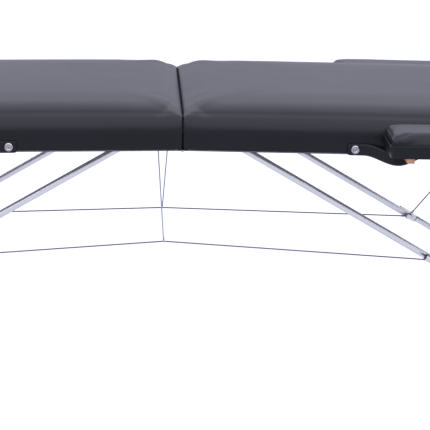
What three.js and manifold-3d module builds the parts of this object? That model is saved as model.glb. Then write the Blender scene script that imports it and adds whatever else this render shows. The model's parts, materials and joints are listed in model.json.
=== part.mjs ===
// Portable massage table: two padded sections joined by a centre hinge, each on a folding leg frame that is
// held out by a pair of two-piece braces and by tensioned cables. Millimetres, +Z up, X along the length,
// origin on the floor under the middle of the table.
import * as THREE from "three";
import { mergeVertices } from "three/addons/utils/BufferGeometryUtils.js";
import Module from "manifold-3d";

const wasm = await Module();
wasm.setup();

// ---- Driving dimensions ----
const SECTION_LENGTH = 925;
const TABLE_WIDTH = 600;
const SECTION_GAP = 1.5; // from the hinge line to a section's cover
const CROWN = THREE.MathUtils.degToRad(0.8); // each section falls this much towards its outer end
const RAIL_HEIGHT = 40;
const RAIL_THICKNESS = 30;
const DECK_THICKNESS = 5;
const FOAM_TOP = 94.5;
const COVER_WALL = 2;
const COVER_TOP = FOAM_TOP + COVER_WALL + 0.5;
const COVER_LIP = { width: 18, thickness: 1 }; // turned in under the rails
const CORNER_RADIUS = 10;
const TOP_RADIUS = 32;
const FIT = 0.3; // gap between touching pieces

const PIVOT_DROP = 4; // hinge pin below the underside
const PIVOT_Z = 13; // leg and brace bolts above the underside
const BRACE_BOLT_X = 80;
const LEG_BOLT_X = 800;
const BRACE_ANGLE = THREE.MathUtils.degToRad(29.5);
const UPPER_BRACE = 575; // from its bolt to the knuckle bolt
const BRACE_TUBE = 8; // radii
const LEG_TUBE = 11;
const LEG_BORE = 9.3;
const BRACE_STUB = 5.6; // lower brace past its bolt on the leg
const INNER_TUBE = 8.7;
const CROSSBAR_TUBE = 8;
const BOLT = 4;
const BOLT_HOLE = 4.4;
const LEG_TO_RAIL = 4.7; // clearances across the table, from the rail inwards
const LEG_TO_LEG = 8;
const LEG_TO_BRACE = 2;
const BRACE_TO_BRACE = 1;
const BRACE_TO_CABLE = 4;
const LEG_LEAN = THREE.MathUtils.degToRad(2.4);
const UPPER_LEG_END = 480; // along the leg, from its bolt
const LOWER_LEG_START = 200;
const LEG_LENGTH = 535;
const CROSSBAR_AT = 90;
const KNOB_AT = 452;
const KNOB_RADIUS = 11;
const FOOT = { radius: { right: 14, left: 12 }, height: 34 };
const CABLE = 1.5;
const CORD_RADIUS = 1.4;
const STAY_X = 822;
const EYE_HANG = { near: 5, far: 1 }; // tie cable eyes below the knuckle bolts
const APEX = { near: [-36.8, -242], far: [-34.4, -260] }; // where a drop cord meets its tie cable
const DROP_TOP = { near: [-55, RAIL_HEIGHT + 4], far: [-15, 2.4] };
const HANDLE = { x: 462, span: 180, z: 10, height: 26, thickness: 4, bow: 28, sag: 26, washer: 9.25 };
const ARM = {
  length: 360,
  width: 120,
  rods: [495, 695],
  rodInset: 63,
  rodZ: 31,
  rod: 5,
  gap: 6,
  bottom: 24,
  top: 76,
};

// Straight when the legs are out and flat when they are in: the brace's whole length and its place on the leg follow.
const span = LEG_BOLT_X - BRACE_BOLT_X;
const wholeBrace =
  (2 * UPPER_BRACE * (span - UPPER_BRACE)) / (span * (1 + Math.cos(BRACE_ANGLE)) - 2 * UPPER_BRACE);
const BRACE_ON_LEG = span - 2 * UPPER_BRACE + wholeBrace;

// Places across the table. The two leg frames pass each other as the table folds.
const half = TABLE_WIDTH / 2;
const railY = half - COVER_WALL - FIT;
const outerLegY = railY - RAIL_THICKNESS - LEG_TO_RAIL - LEG_TUBE;
const LEG_Y = { right: outerLegY - 2 * LEG_TUBE - LEG_TO_LEG, left: outerLegY };
const LOWER_BRACE_Y = LEG_Y.right - LEG_TUBE - BRACE_TUBE - LEG_TO_BRACE;
const UPPER_BRACE_Y = LOWER_BRACE_Y - 2 * BRACE_TUBE - BRACE_TO_BRACE;
const CABLE_Y = UPPER_BRACE_Y - BRACE_TUBE - BRACE_TO_CABLE;

const down = new THREE.Vector3(Math.sin(LEG_LEAN), 0, -Math.cos(LEG_LEAN));
const alongBrace = new THREE.Vector3(Math.cos(BRACE_ANGLE), 0, -Math.sin(BRACE_ANGLE));
const at = (x, y, z) => new THREE.Vector3(x, y, z);
const braceBolt = at(BRACE_BOLT_X, 0, PIVOT_Z);
const legBolt = at(LEG_BOLT_X, 0, PIVOT_Z);
const knuckle = braceBolt.clone().addScaledVector(alongBrace, UPPER_BRACE);
const onLeg = (distance, y = 0) => legBolt.clone().addScaledVector(down, distance).setY(y);

// Height of the underside at the hinge line: the foot's centre stands on the floor.
const tip = onLeg(LEG_LENGTH);
const UNDERSIDE = tip.x * Math.sin(CROWN) - (tip.z + PIVOT_DROP) * Math.cos(CROWN) + PIVOT_DROP;

// ---- Materials ----
const paint = (color, roughness, metalness = 0) => new THREE.MeshStandardMaterial({ color, roughness, metalness });
const VINYL_TOP = paint(0x5b5b66, 0.42);
const VINYL_DARK = paint(0x22242c, 0.45);
const FOAM = paint(0xe6dfc8, 0.9);
const RAIL_WOOD = paint(0x1c1a19, 0.6);
const PLY = paint(0x1f1d1c, 0.65);
const ARMREST_WOOD = paint(0xa07050, 0.55);
const STEEL = paint(0xb4bac2, 0.3, 0.9);
const ZINC = paint(0x9a9ea6, 0.35, 0.9);
const WIRE = paint(0x8c8f96, 0.4, 0.8);
const CORD = paint(0xa9b8cc, 0.7);
const RUBBER = paint(0x17181b, 0.8);
const PLASTIC = paint(0x1b1c20, 0.5);

// ---- Solids ----
function toManifold(geometry) {
  const bare = geometry.clone();
  bare.deleteAttribute("normal");
  bare.deleteAttribute("uv");
  const merged = mergeVertices(bare, 1e-4);
  return new wasm.Manifold(
    new wasm.Mesh({
      numProp: 3,
      vertProperties: merged.attributes.position.array,
      triVerts: new Uint32Array(merged.index.array),
    }),
  );
}

function toGeometry(solid) {
  const mesh = solid.getMesh();
  const points = new Float32Array(mesh.numVert * 3);
  for (let i = 0; i < mesh.numVert; i++)
    points.set(mesh.vertProperties.subarray(i * mesh.numProp, i * mesh.numProp + 3), i * 3);
  const geometry = new THREE.BufferGeometry().setAttribute("position", new THREE.BufferAttribute(points, 3));
  geometry.setIndex(new THREE.BufferAttribute(new Uint32Array(mesh.triVerts), 1));
  geometry.computeVertexNormals();
  return geometry;
}

// The first list of geometries joined, less the second list.
function build(joined, cut = []) {
  let solid = toManifold(joined[0]);
  for (const g of joined.slice(1)) solid = solid.add(toManifold(g));
  for (const g of cut) solid = solid.subtract(toManifold(g));
  return toGeometry(solid);
}

const box = (x0, x1, y0, y1, z0, z1) =>
  new THREE.BoxGeometry(x1 - x0, y1 - y0, z1 - z0).translate((x0 + x1) / 2, (y0 + y1) / 2, (z0 + z1) / 2);

// A round bar between two points.
function bar(from, to, radius, sides = 16) {
  const way = to.clone().sub(from);
  const turn = new THREE.Quaternion().setFromUnitVectors(at(0, 1, 0), way.clone().normalize());
  return new THREE.CylinderGeometry(radius, radius, way.length(), sides)
    .applyQuaternion(turn)
    .translate(...from.clone().add(to).multiplyScalar(0.5).toArray());
}

const crossBar = (x, z, y0, y1, radius, sides = 12) => bar(at(x, y0, z), at(x, y1, z), radius, sides);

function roundedRectangle(x0, x1, y0, y1, low, high = low) {
  const shape = new THREE.Shape();
  const corners = [
    [x0, y0, 1, 1, Math.PI, low],
    [x1, y0, -1, 1, 1.5 * Math.PI, low],
    [x1, y1, -1, -1, 0, high],
    [x0, y1, 1, -1, Math.PI / 2, high],
  ];
  const points = [];
  for (const [x, y, dx, dy, from, r] of corners) {
    if (!r) points.push(new THREE.Vector2(x, y));
    for (let i = 0; r && i <= 4; i++) {
      const angle = from + (i / 4) * (Math.PI / 2);
      points.push(new THREE.Vector2(x + dx * r + r * Math.cos(angle), y + dy * r + r * Math.sin(angle)));
    }
  }
  return shape.setFromPoints(points);
}

const extrude = (shape, depth) => new THREE.ExtrudeGeometry(shape, { depth, steps: 1, bevelEnabled: false });

const plate = (x0, x1, y0, y1, z0, z1, corner) =>
  extrude(roundedRectangle(x0, x1, y0, y1, corner), z1 - z0).translate(0, 0, z0);

// A flat-bottomed slab with round corners in plan and a round upper edge: three plain extrusions in common.
function slab(x0, x1, y0, y1, z0, z1, corner, edge) {
  const plan = plate(x0, x1, y0, y1, z0 - 1, z1 + 1, corner);
  const front = extrude(roundedRectangle(x0, x1, z0, z1, 0, edge), y1 - y0 + 2)
    .rotateX(Math.PI / 2)
    .translate(0, y1 + 1, 0);
  const end = extrude(roundedRectangle(y0, y1, z0, z1, 0, edge), x1 - x0 + 2)
    .rotateX(Math.PI / 2)
    .rotateZ(Math.PI / 2)
    .translate(x0 - 1, 0, 0);
  return toManifold(plan).intersect(toManifold(front)).intersect(toManifold(end));
}

const root = new THREE.Group();
const sections = {
  right: new THREE.Group(),
  left: new THREE.Group(),
};
for (const [side, group] of Object.entries(sections)) {
  const sign = side === "right" ? 1 : -1;
  group.position.z = UNDERSIDE - PIVOT_DROP;
  group.rotation.y = sign * CROWN;
  group.scale.x = sign;
  root.add(group);
}

function add(parent, name, geometry, material) {
  const mesh = new THREE.Mesh(geometry, material);
  mesh.name = name;
  parent.add(mesh);
  return mesh;
}

// Geometry is written with z = 0 on the underside; the groups turn about the hinge pin.
const addTo = (side, name, geometry, material) =>
  add(sections[side], `${side}_${name}`, geometry.translate(0, 0, PIVOT_DROP), material);

const inX = (side, point) => sections[side].localToWorld(point.clone().add(at(0, 0, PIVOT_DROP)));

// ---- Sections ----
const outer = SECTION_GAP + SECTION_LENGTH - 1.5;
const railEnd = { in: SECTION_GAP + COVER_WALL + FIT, out: outer - COVER_WALL - FIT };
const innerCorner = CORNER_RADIUS - COVER_WALL;
const railZ = COVER_LIP.thickness + FIT;
const deckZ = RAIL_HEIGHT + FIT;
const foamZ = deckZ + DECK_THICKNESS + FIT;
const rodHoles = (radius, y0, y1) => ARM.rods.map((x) => crossBar(x, ARM.rodZ, y0, y1, radius, 16));
const railHoles = (radius) => [
  ...rodHoles(radius, -half - 5, -half + RAIL_THICKNESS + 20),
  ...rodHoles(radius, half - RAIL_THICKNESS - 20, half + 5),
];

for (const side of ["left", "right"]) {
  const frameHoles = side === "right" ? railHoles(ARM.rod + 0.6) : [];
  addTo(
    side,
    "rail_frame",
    build(
      [plate(railEnd.in, railEnd.out, -railY, railY, railZ, RAIL_HEIGHT, innerCorner)],
      [
        box(
          railEnd.in + RAIL_THICKNESS,
          railEnd.out - RAIL_THICKNESS,
          -railY + RAIL_THICKNESS,
          railY - RAIL_THICKNESS,
          -5,
          RAIL_HEIGHT + 5,
        ),
        ...frameHoles,
      ],
    ),
    RAIL_WOOD,
  );
  addTo(
    side,
    "deck",
    plate(railEnd.in, railEnd.out, -railY, railY, deckZ, deckZ + DECK_THICKNESS, innerCorner),
    PLY,
  );
  addTo(
    side,
    "foam",
    toGeometry(slab(railEnd.in, railEnd.out, -railY, railY, foamZ, FOAM_TOP, innerCorner, TOP_RADIUS - COVER_WALL)),
    FOAM,
  );
  const lip = COVER_WALL + COVER_LIP.width;
  let cover = slab(SECTION_GAP, outer, -half, half, 0, COVER_TOP, CORNER_RADIUS, TOP_RADIUS)
    .subtract(
      slab(
        SECTION_GAP + COVER_WALL,
        outer - COVER_WALL,
        -half + COVER_WALL,
        half - COVER_WALL,
        COVER_LIP.thickness,
        FOAM_TOP + FIT,
        innerCorner,
        TOP_RADIUS - COVER_WALL,
      ),
    )
    .subtract(toManifold(box(SECTION_GAP + lip, outer - lip, -half + lip, half - lip, -1, COVER_LIP.thickness + 1)));
  for (const hole of frameHoles) cover = cover.subtract(toManifold(hole));
  addTo(side, "cover", toGeometry(cover), VINYL_TOP);
}

// ---- Centre hinge: leaves under the two inner rails, barrels taking turns along the pin ----
const BARREL = 3;
const HINGE_HALF = half - 20;
const KNUCKLES = 7;
const knuckleLength = (2 * HINGE_HALF) / KNUCKLES;
for (const [side, first] of [["left", 0], ["right", 1]]) {
  const joined = [box(BARREL + 0.5, 30, -HINGE_HALF, HINGE_HALF, -2, -FIT)];
  for (let i = first; i < KNUCKLES; i += 2) {
    const y0 = -HINGE_HALF + i * knuckleLength + 0.25;
    const y1 = y0 + knuckleLength - 0.5;
    joined.push(crossBar(0, -PIVOT_DROP, y0, y1, BARREL, 16), box(0.5, BARREL + 1, y0, y1, -2, -FIT - 0.6));
  }
  addTo(
    side,
    "hinge_leaf",
    build(joined, [crossBar(0, -PIVOT_DROP, -HINGE_HALF - 5, HINGE_HALF + 5, 1.9, 12)]),
    ZINC,
  );
}
add(root, "hinge_pin", crossBar(0, UNDERSIDE - PIVOT_DROP, -HINGE_HALF, HINGE_HALF, 1.5, 12), STEEL);

// ---- Brackets, braces and legs ----
// Two cheeks hanging from a plate under the deck, with the bolt that the tube turns on.
function bracket(x, y, reach) {
  const inside = reach + 1;
  return build([
    box(x - 16, x + 16, y - inside - 2, y + inside + 2, RAIL_HEIGHT - 2, RAIL_HEIGHT),
    box(x - 11, x + 11, y - inside - 2, y - inside, PIVOT_Z - 9, RAIL_HEIGHT - 1),
    box(x - 11, x + 11, y + inside, y + inside + 2, PIVOT_Z - 9, RAIL_HEIGHT - 1),
    crossBar(x, PIVOT_Z, y - inside - 1, y + inside + 1, BOLT),
  ]);
}

function starKnob(radius, height) {
  const lobes = 5;
  const shape = new THREE.Shape();
  for (let i = 0; i < lobes * 4; i++) {
    const angle = (i / (lobes * 4)) * 2 * Math.PI;
    const r = radius - (i % 4 === 2 ? 2.4 : i % 2 ? 0.9 : 0);
    if (i) shape.lineTo(r * Math.cos(angle), r * Math.sin(angle));
    else shape.moveTo(r, 0);
  }
  return new THREE.ExtrudeGeometry(shape, { depth: height, bevelEnabled: false });
}

const stations = { near: -1, far: 1 };
const knobTurn = new THREE.Quaternion().setFromUnitVectors(at(0, 0, 1), at(-Math.cos(LEG_LEAN), 0, -Math.sin(LEG_LEAN)));
const knobAxis = at(0, 0, 1).applyQuaternion(knobTurn);

for (const side of ["left", "right"]) {
  const legY = LEG_Y[side];
  const legParts = [];
  const legBores = [];
  const legHoles = [];
  for (const [row, sign] of Object.entries(stations)) {
    addTo(side, `${row}_brace_bracket`, bracket(BRACE_BOLT_X, sign * UPPER_BRACE_Y, BRACE_TUBE), ZINC);
    addTo(side, `${row}_leg_bracket`, bracket(LEG_BOLT_X, sign * legY, LEG_TUBE), ZINC);

    // upper brace, with the knuckle bolt that also holds the cable eyes
    const yU = sign * UPPER_BRACE_Y;
    const start = braceBolt.clone().addScaledVector(alongBrace, -11).setY(yU);
    const end = knuckle.clone().addScaledVector(alongBrace, 21).setY(yU);
    const inner = sign * (UPPER_BRACE_Y - BRACE_TUBE);
    addTo(
      side,
      `${row}_upper_brace`,
      build(
        [
          bar(start, end, BRACE_TUBE),
          crossBar(knuckle.x, knuckle.z, inner + sign * 2, sign * (CABLE_Y - 5), BOLT),
          crossBar(knuckle.x, knuckle.z, sign * (CABLE_Y - 4), sign * (CABLE_Y - 8), 6.5, 6),
        ],
        [crossBar(BRACE_BOLT_X, PIVOT_Z, yU - 30, yU + 30, BOLT_HOLE)],
      ),
      STEEL,
    );

    // lower brace, alongside the upper one at the knuckle and pinned to a band around the leg
    const yL = sign * LOWER_BRACE_Y;
    const outside = sign * (LOWER_BRACE_Y + BRACE_TUBE);
    const foot = onLeg(BRACE_ON_LEG);
    addTo(
      side,
      `${row}_lower_brace`,
      build(
        [
          bar(
            knuckle.clone().addScaledVector(alongBrace, -21).setY(yL),
            foot.clone().addScaledVector(alongBrace, BRACE_STUB).setY(yL),
            BRACE_TUBE,
          ),
          crossBar(knuckle.x, knuckle.z, outside - sign * 2, outside + sign * 1.2, 6.5, 6),
        ],
        [crossBar(foot.x, foot.z, yL - 30, yL + 30, BOLT_HOLE)],
      ),
      STEEL,
    );
    const pinStart = sign * (LOWER_BRACE_Y - BRACE_TUBE - 0.4);
    const bandAt = (d) => onLeg(BRACE_ON_LEG + d, sign * legY);
    legParts.push(
      bar(onLeg(-12, sign * legY), onLeg(UPPER_LEG_END, sign * legY), LEG_TUBE),
      bar(bandAt(-9), bandAt(9), LEG_TUBE + 1.2),
      crossBar(foot.x, foot.z, pinStart, sign * (legY - LEG_TUBE + 1), BOLT),
    );
    if (side === "left")
      legParts.push(crossBar(foot.x, foot.z, outside + sign * 0.8, sign * (legY - LEG_TUBE + 1), 6));
    legBores.push(bar(onLeg(6 + BOLT_HOLE, sign * legY), onLeg(UPPER_LEG_END + 5, sign * legY), LEG_BORE));
    legHoles.push(
      crossBar(LEG_BOLT_X, PIVOT_Z, sign * (legY - 20), sign * (legY + 20), BOLT_HOLE),
      bar(onLeg(KNOB_AT, sign * legY), onLeg(KNOB_AT, sign * legY).addScaledVector(knobAxis, 20), 3.6, 12),
    );

    const lowerEnd = LEG_LENGTH - 5;
    addTo(
      side,
      `${row}_lower_leg`,
      build(
        [bar(onLeg(LOWER_LEG_START, sign * legY), onLeg(lowerEnd, sign * legY), INNER_TUBE)],
        [bar(onLeg(LOWER_LEG_START - 5, sign * legY), onLeg(lowerEnd - 8, sign * legY), INNER_TUBE - 1.5)],
      ),
      STEEL,
    );

    const knobBase = onLeg(KNOB_AT, sign * legY).addScaledVector(knobAxis, LEG_TUBE + 0.8);
    const knob = build([
      starKnob(KNOB_RADIUS, 11),
      new THREE.CylinderGeometry(3, 3, 4, 12).rotateX(Math.PI / 2).translate(0, 0, -0.6),
    ]);
    addTo(
      side,
      `${row}_leg_knob`,
      knob.applyQuaternion(knobTurn).translate(...knobBase.toArray()),
      PLASTIC,
    );

    // the foot stands square on the floor around the leaning tube
    const centre = inX(side, onLeg(LEG_LENGTH, sign * legY));
    const tubeTop = inX(side, onLeg(LEG_LENGTH - 60, sign * legY));
    const tubeEnd = inX(side, onLeg(lowerEnd + FIT, sign * legY));
    const r = FOOT.radius[side];
    add(
      root,
      `${side}_${row}_foot`,
      build(
        [
          bar(at(centre.x, centre.y, 0), at(centre.x, centre.y, FOOT.height - 6), r, 20),
          new THREE.CylinderGeometry(INNER_TUBE + 2.2, r, 6, 20)
            .rotateX(Math.PI / 2)
            .translate(centre.x, centre.y, FOOT.height - 3),
        ],
        [bar(tubeTop, tubeEnd, INNER_TUBE + FIT)],
      ),
      RUBBER,
    );
  }
  const crossAt = onLeg(CROSSBAR_AT);
  legParts.push(crossBar(crossAt.x, crossAt.z, -legY, legY, CROSSBAR_TUBE, 16));
  addTo(side, "leg_frame", build(legParts, [...legBores, ...legHoles]), STEEL);
}

// ---- Cables ----
function cable(name, from, to, material = WIRE, radius = CABLE) {
  const way = to.clone().sub(from).normalize();
  const path = new THREE.LineCurve3(from.clone().addScaledVector(way, BOLT + 0.6), to.clone().addScaledVector(way, -2));
  const section = new THREE.Shape().absarc(0, 0, radius, 0, 2 * Math.PI);
  const geometry = new THREE.ExtrudeGeometry(section, { extrudePath: path, steps: 1, curveSegments: 4 });
  add(root, name, geometry, material);
}

for (const [row, sign] of Object.entries(stations)) {
  const y = sign * CABLE_Y;
  const apex = at(APEX[row][0], y, UNDERSIDE + APEX[row][1]);
  for (const side of ["left", "right"]) {
    const bolt = inX(side, knuckle.clone().setY(y));
    const eye = bolt.clone().sub(at(0, 0, EYE_HANG[row]));
    const anchor = inX(side, at(STAY_X, y, RAIL_HEIGHT - 2));
    cable(`${side}_${row}_tie_cable`, eye, apex);
    cable(`${side}_${row}_stay_cable`, bolt, anchor);
  }
  cable(`${row}_drop_cord`, inX("left", at(-DROP_TOP[row][0], y, DROP_TOP[row][1])), apex, CORD, CORD_RADIUS);
}

// ---- Carry handles: a strap bowed out from the near side, under two cup washers ----
function handleSolid() {
  const { x, span: length, thickness, bow, sag, height, washer, z } = HANDLE;
  const wall = -half - FIT;
  const tab = 13;
  const reach = length / 2 + tab;
  const rise = (u) => (1 + Math.cos(Math.PI * THREE.MathUtils.clamp(u / (length / 2 - tab), -1, 1))) / 2;
  const steps = 16;
  const samples = Array.from({ length: steps + 1 }, (_, i) => -reach + (2 * reach * i) / steps);
  const outline = (offset) => samples.map((u) => new THREE.Vector2(x + u, wall - offset - bow * rise(u)));
  const band = new THREE.ExtrudeGeometry(new THREE.Shape([...outline(0), ...outline(thickness).reverse()]), {
    depth: height,
    steps: 1,
    bevelEnabled: false,
  }).translate(0, 0, z - height / 2);
  const points = band.attributes.position;
  for (let i = 0; i < points.count; i++) points.setZ(i, points.getZ(i) - sag * rise(points.getX(i) - x));
  const outside = wall - thickness;
  const cups = [-1, 1].map((e) => crossBar(x + (e * length) / 2, z, outside + 1, outside - 2.5, washer, 20));
  return build([band, ...cups]);
}
for (const side of ["left", "right"]) addTo(side, "carry_handle", handleSolid(), VINYL_DARK);

// ---- Armrests: the same part on each side, turned half round ----
// Written for the near side, then turned about the middle of the sockets for the far side.
function armrest(row) {
  const start = ARM.rods[0] - ARM.rodInset;
  const end = start + ARM.length;
  const inner = -half - ARM.gap;
  const away = inner - ARM.width;
  const middle = (ARM.rods[0] + ARM.rods[1]) / 2;
  const wall = 8;
  const boardZ = ARM.rodZ + 8;
  const pocket = box(start + wall, end - wall, away + wall, inner - wall, ARM.bottom - 10, boardZ + 8 + FIT);
  let pad = slab(start, end, away, inner, ARM.bottom, ARM.top, 14, 14).subtract(toManifold(pocket));
  for (const x of ARM.rods) {
    const notch = box(x - 6, x + 6, inner - wall - 1, inner + 1, ARM.bottom - 10, ARM.rodZ + 6);
    pad = pad.subtract(toManifold(notch));
  }
  const board = build(
    [
      box(start + wall + FIT, end - wall - FIT, away + wall + FIT, inner - wall - FIT, boardZ, boardZ + 8),
      ...ARM.rods.map((x) => box(x - 24, x - 8, away + 22, inner - 36, 9, boardZ + 1)),
      ...ARM.rods.map((x) => box(x - 10, x + 12, away + 22, inner - 36, ARM.rodZ - 9, boardZ + 1)),
    ],
    [
      ...ARM.rods.map((x) => crossBar(x, ARM.rodZ, away + 30, inner + 5, ARM.rod + FIT, 12)),
      box(ARM.rods[0] - ARM.rod, ARM.rods[1] + ARM.rod, away + 27, away + 43, ARM.rodZ - 6, ARM.rodZ + 6),
    ],
  );
  const bend = away + 35;
  const prongs = build([
    ...ARM.rods.map((x) => crossBar(x, ARM.rodZ, bend, -half + 100, ARM.rod)),
    bar(at(ARM.rods[0] - ARM.rod + 0.5, bend, ARM.rodZ), at(ARM.rods[1] + ARM.rod - 0.5, bend, ARM.rodZ), ARM.rod, 12),
  ]);
  for (const [piece, geometry, material] of [
    ["armrest_pad", toGeometry(pad), VINYL_DARK],
    ["armrest_board", board, ARMREST_WOOD],
    ["armrest_prongs", prongs, STEEL],
  ]) {
    if (row === "far") geometry.translate(-middle, 0, 0).rotateZ(Math.PI).translate(middle, 0, 0);
    add(sections.right, `${row}_${piece}`, geometry.translate(0, 0, PIVOT_DROP), material);
  }
}
for (const row of ["near", "far"]) armrest(row);

export default root;
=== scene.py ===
import json
import math
import bpy
import bmesh
import numpy as np
from mathutils import Matrix, Vector


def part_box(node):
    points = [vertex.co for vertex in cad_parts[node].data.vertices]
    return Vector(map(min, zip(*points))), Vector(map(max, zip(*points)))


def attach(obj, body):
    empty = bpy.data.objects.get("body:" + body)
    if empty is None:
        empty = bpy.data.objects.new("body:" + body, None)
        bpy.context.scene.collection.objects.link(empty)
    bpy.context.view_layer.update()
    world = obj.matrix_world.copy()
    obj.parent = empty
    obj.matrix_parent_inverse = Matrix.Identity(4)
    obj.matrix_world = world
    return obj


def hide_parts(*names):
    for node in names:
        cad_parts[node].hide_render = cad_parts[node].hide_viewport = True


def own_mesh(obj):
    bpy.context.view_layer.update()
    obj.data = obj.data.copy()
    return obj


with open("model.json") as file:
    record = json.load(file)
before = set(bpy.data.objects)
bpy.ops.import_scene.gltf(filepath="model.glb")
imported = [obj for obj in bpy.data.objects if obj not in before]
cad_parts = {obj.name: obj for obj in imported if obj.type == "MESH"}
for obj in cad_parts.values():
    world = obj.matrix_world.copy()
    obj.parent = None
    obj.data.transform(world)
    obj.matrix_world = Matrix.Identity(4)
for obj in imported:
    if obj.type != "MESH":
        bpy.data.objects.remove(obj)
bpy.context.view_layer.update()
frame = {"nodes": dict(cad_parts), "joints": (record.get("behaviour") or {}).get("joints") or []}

mm = 0.001
joints = {j["name"]: j for j in frame["joints"]}
sides = {"left": -1, "right": 1}
rows = {"near": -1, "far": 1}

# the table's own lines, all on the underside plane of a section, x away from the hinge
table = {
    "crown": math.radians(0.8),      # fall of each section towards its outer end
    "pinDrop": 4 * mm,               # hinge pin below the underside
    "pinHeight": joints["centre_fold"]["pos_m"][2],
    "length": 925 * mm, "halfWidth": 300 * mm, "gap": 1.5 * mm,
    "boltZ": 13 * mm, "braceBoltX": 80 * mm, "legBoltX": 800 * mm,
    "braceAngle": math.radians(29.5), "upperBrace": 575 * mm, "legLean": math.radians(2.4),
    "upperBraceY": 184 * mm, "lowerBraceY": 201 * mm, "legY": {"right": 222 * mm, "left": 252 * mm},
    "cableY": 172 * mm, "stayX": 822 * mm,
    "apex": {"near": (-36.8 * mm, -242 * mm), "far": (-34.4 * mm, -260 * mm)},
    "dropTop": {"near": (-55 * mm, 39.2 * mm), "far": (-15 * mm, -2.2 * mm)},
    "eyeHang": {"near": 5 * mm, "far": 1 * mm},
}
underside = table["pinHeight"] + table["pinDrop"]


def sectionMatrix(side):
    s = sides[side]
    turn = Matrix.Rotation(s * table["crown"], 4, "Y") @ Matrix.Scale(s, 4, (1, 0, 0))
    atPin = Matrix.Translation((0, 0, table["pinHeight"]))
    return atPin @ turn @ Matrix.Translation((0, 0, table["pinDrop"]))


def place(side, x, y, z):
    return sectionMatrix(side) @ Vector((x, y, z))


alongBrace = Vector((math.cos(table["braceAngle"]), 0, -math.sin(table["braceAngle"])))
downLeg = Vector((math.sin(table["legLean"]), 0, -math.cos(table["legLean"])))
braceBolt = Vector((table["braceBoltX"], 0, table["boltZ"]))
legBolt = Vector((table["legBoltX"], 0, table["boltZ"]))
knuckle = braceBolt + alongBrace * table["upperBrace"]
boltSpan = table["legBoltX"] - table["braceBoltX"]
wholeBrace = 2 * table["upperBrace"] * (boltSpan - table["upperBrace"]) / (
    boltSpan * (1 + math.cos(table["braceAngle"])) - 2 * table["upperBrace"])
braceOnLeg = boltSpan - 2 * table["upperBrace"] + wholeBrace


def onLeg(distance, y=0.0):
    p = legBolt + downLeg * distance
    return Vector((p.x, y, p.z))


def atY(p, y):
    return Vector((p.x, y, p.z))


view = {"place": Vector((-109.4, -3902.3, 895.8)) * mm, "yaw": math.radians(2.887),
        "pitch": math.radians(16.06), "roll": math.radians(1.11), "lens": 144.0}


def setCamera():
    forward = Vector((math.sin(view["yaw"]) * math.cos(view["pitch"]),
                      math.cos(view["yaw"]) * math.cos(view["pitch"]), -math.sin(view["pitch"])))
    right = forward.cross(Vector((0, 0, 1))).normalized()
    up = right.cross(forward)
    c, s = math.cos(view["roll"]), math.sin(view["roll"])
    tiltedRight, tiltedUp = right * c + up * s, up * c - right * s
    data = bpy.data.cameras.new("camera")
    data.lens, data.sensor_width, data.clip_end = view["lens"], 36, 100
    camera = bpy.data.objects.new("camera", data)
    bpy.context.scene.collection.objects.link(camera)
    turn = Matrix((tiltedRight, tiltedUp, -forward)).transposed().to_4x4()
    camera.matrix_world = Matrix.Translation(view["place"] + Vector((0, 0, underside))) @ turn
    bpy.context.scene.camera = camera


setCamera()


# a socket that takes part in sums
class Wire:
    def __init__(self, finish, socket):
        self.finish, self.socket = finish, socket

    def maths(self, operation, other, swapped=False):
        pair = (other, self) if swapped else (self, other)
        return self.finish.node("ShaderNodeMath", {"operation": operation}, {0: pair[0], 1: pair[1]})

    def __add__(self, other):
        return self.maths("ADD", other)

    def __radd__(self, other):
        return self.maths("ADD", other, True)

    def __sub__(self, other):
        return self.maths("SUBTRACT", other)

    def __rsub__(self, other):
        return self.maths("SUBTRACT", other, True)

    def __mul__(self, other):
        return self.maths("MULTIPLY", other)

    def __rmul__(self, other):
        return self.maths("MULTIPLY", other, True)


class Finish:
    def __init__(self, name, **fixed):
        self.material = bpy.data.materials.new(name)
        self.material.use_nodes = True
        self.tree = self.material.node_tree
        self.shader = self.tree.nodes["Principled BSDF"]
        for key, value in fixed.items():
            self.shader.inputs[key.replace("_", " ")].default_value = value
        coordinates = self.tree.nodes.new("ShaderNodeTexCoord")
        self.place = Wire(self, coordinates.outputs["Object"])

    def node(self, kind, settings=None, values=None, output=0):
        made = self.tree.nodes.new(kind)
        for key, value in (settings or {}).items():
            if key == "stops":
                while len(made.color_ramp.elements) < len(value):
                    made.color_ramp.elements.new(0.5)
                for element, (position, colour) in zip(made.color_ramp.elements, value):
                    element.position, element.color = position, colour
            else:
                setattr(made, key, value)
        for key, value in (values or {}).items():
            socket = made.inputs[key]
            if isinstance(value, Wire):
                self.tree.links.new(value.socket, socket)
            else:
                socket.default_value = value
        return Wire(self, made.outputs[output])

    def stretched(self, scale):
        return self.node("ShaderNodeMapping", None, {"Vector": self.place, "Scale": scale})

    def noise(self, scale, detail=3.0, at=None, rough=0.5):
        values = {"Vector": at or self.place, "Scale": scale, "Detail": detail, "Roughness": rough}
        return self.node("ShaderNodeTexNoise", None, values)

    def cells(self, scale, feature="F1", at=None):
        values = {"Vector": at or self.place, "Scale": scale}
        return self.node("ShaderNodeTexVoronoi", {"feature": feature}, values)

    def ramp(self, factor, stops):
        return self.node("ShaderNodeValToRGB", {"stops": stops}, {"Fac": factor})

    def blend(self, factor, first, second):
        return self.node("ShaderNodeMix", {"data_type": "RGBA"}, {0: factor, 6: first, 7: second}, 2)

    def bump(self, height, distance, strength=1.0, under=None):
        values = {"Height": height, "Distance": distance, "Strength": strength}
        if under:
            values["Normal"] = under
        return self.node("ShaderNodeBump", None, values)

    def feed(self, **wires):
        for key, wire in wires.items():
            self.tree.links.new(wire.socket, self.shader.inputs[key.replace("_", " ")])
        return self.material


def shades(low, high, a, b):
    return [(a, (*low, 1)), (b, (*high, 1))]


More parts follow.
